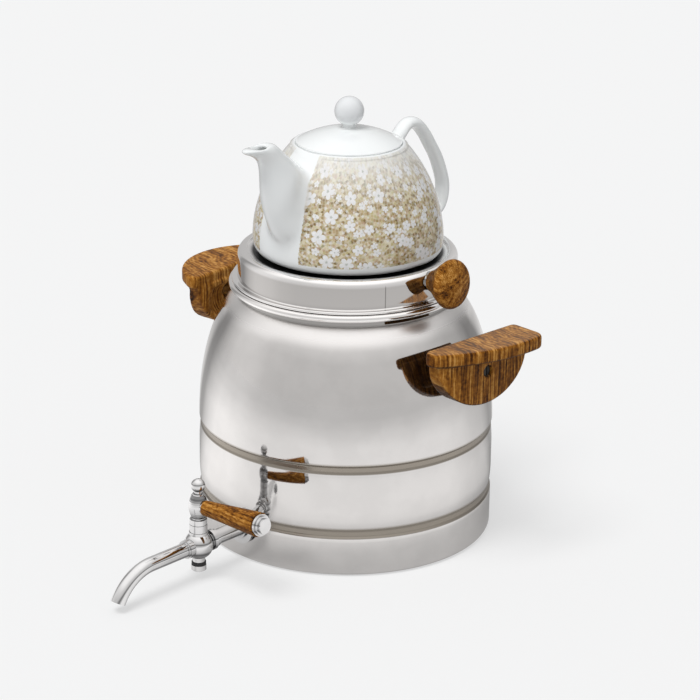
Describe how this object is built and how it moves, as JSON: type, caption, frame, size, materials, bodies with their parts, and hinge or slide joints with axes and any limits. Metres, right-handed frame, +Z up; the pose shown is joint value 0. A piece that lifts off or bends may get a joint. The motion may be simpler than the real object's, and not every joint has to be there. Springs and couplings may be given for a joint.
{
  "type": "two-tier tea kettle with tap",
  "caption": "Polished steel water kettle with a tap and wooden side handles, and a printed porcelain teapot standing in its lid.",
  "frame": {"origin": "on the kettle's axis, in the plane of the surface that it stands on", "axes": "+Z up along the kettle's axis, -Y towards the tap and the teapot's spout, +X towards the lid's knob"},
  "size_m": [0.3255, 0.3645, 0.344],
  "materials": {
    "polished_steel": "mirror-polished stainless steel",
    "steel_fastener": "plain stainless steel",
    "chrome": "bright chrome plate",
    "wood": "oiled orange-brown wood with dark streaks",
    "brass": "machined",
    "porcelain": "white glaze with a gold-beige printed ground of white blossoms",
    "rubber": "black rubber",
    "aluminium": "plain"
  },
  "bodies": {
    "kettle": {"kettle_body": "polished_steel", "kettle_dome": "polished_steel", "heat_disc": "aluminium", "base_cover": "polished_steel", "handle_bosses": "steel_fastener", "right_handle": "wood", "left_handle": "wood", "handle_screws": "steel_fastener", "handle_washers": "steel_fastener", "tap_body": "chrome", "tap_rosette": "chrome", "outer_gasket": "rubber", "inner_gasket": "rubber", "inner_washer": "steel_fastener", "lock_nut": "brass", "spout_collar": "chrome", "spout_tube": "chrome", "bonnet_nut": "chrome", "stem_packing": "rubber"},
    "tap_lever": {"tap_plug": "brass", "lever_collar": "chrome", "lever_hub": "chrome", "lever_rod": "steel_fastener", "lever_grip": "wood", "grip_cap": "chrome", "finial": "chrome", "bottom_seal": "rubber", "bottom_nut": "chrome"},
    "lid": {"lid_shell": "polished_steel", "lid_collar": "polished_steel", "lid_knob": "wood", "lid_knob_washer": "chrome", "lid_knob_screw": "steel_fastener"},
    "teapot": {"teapot_body": "porcelain"},
    "teapot_lid": {"teapot_lid": "porcelain"}
  },
  "joints": [
    {"name": "tap_lever_turn", "type": "hinge", "parent": "kettle", "child": "tap_lever", "pos_m": [0, -0.162, 0.0275], "axis": [0, 0, -1], "range_deg": [0, 90]},
    {"name": "lid_lift", "type": "slide", "parent": "kettle", "child": "lid", "axis": [0, 0, 1], "range_m": [0, 0.05]},
    {"name": "teapot_lift", "type": "slide", "parent": "lid", "child": "teapot", "axis": [0, 0, 1], "range_m": [0, 0.04]},
    {"name": "teapot_lid_lift", "type": "slide", "parent": "teapot", "child": "teapot_lid", "axis": [0, 0, 1], "range_m": [0, 0.04]}
  ]
}
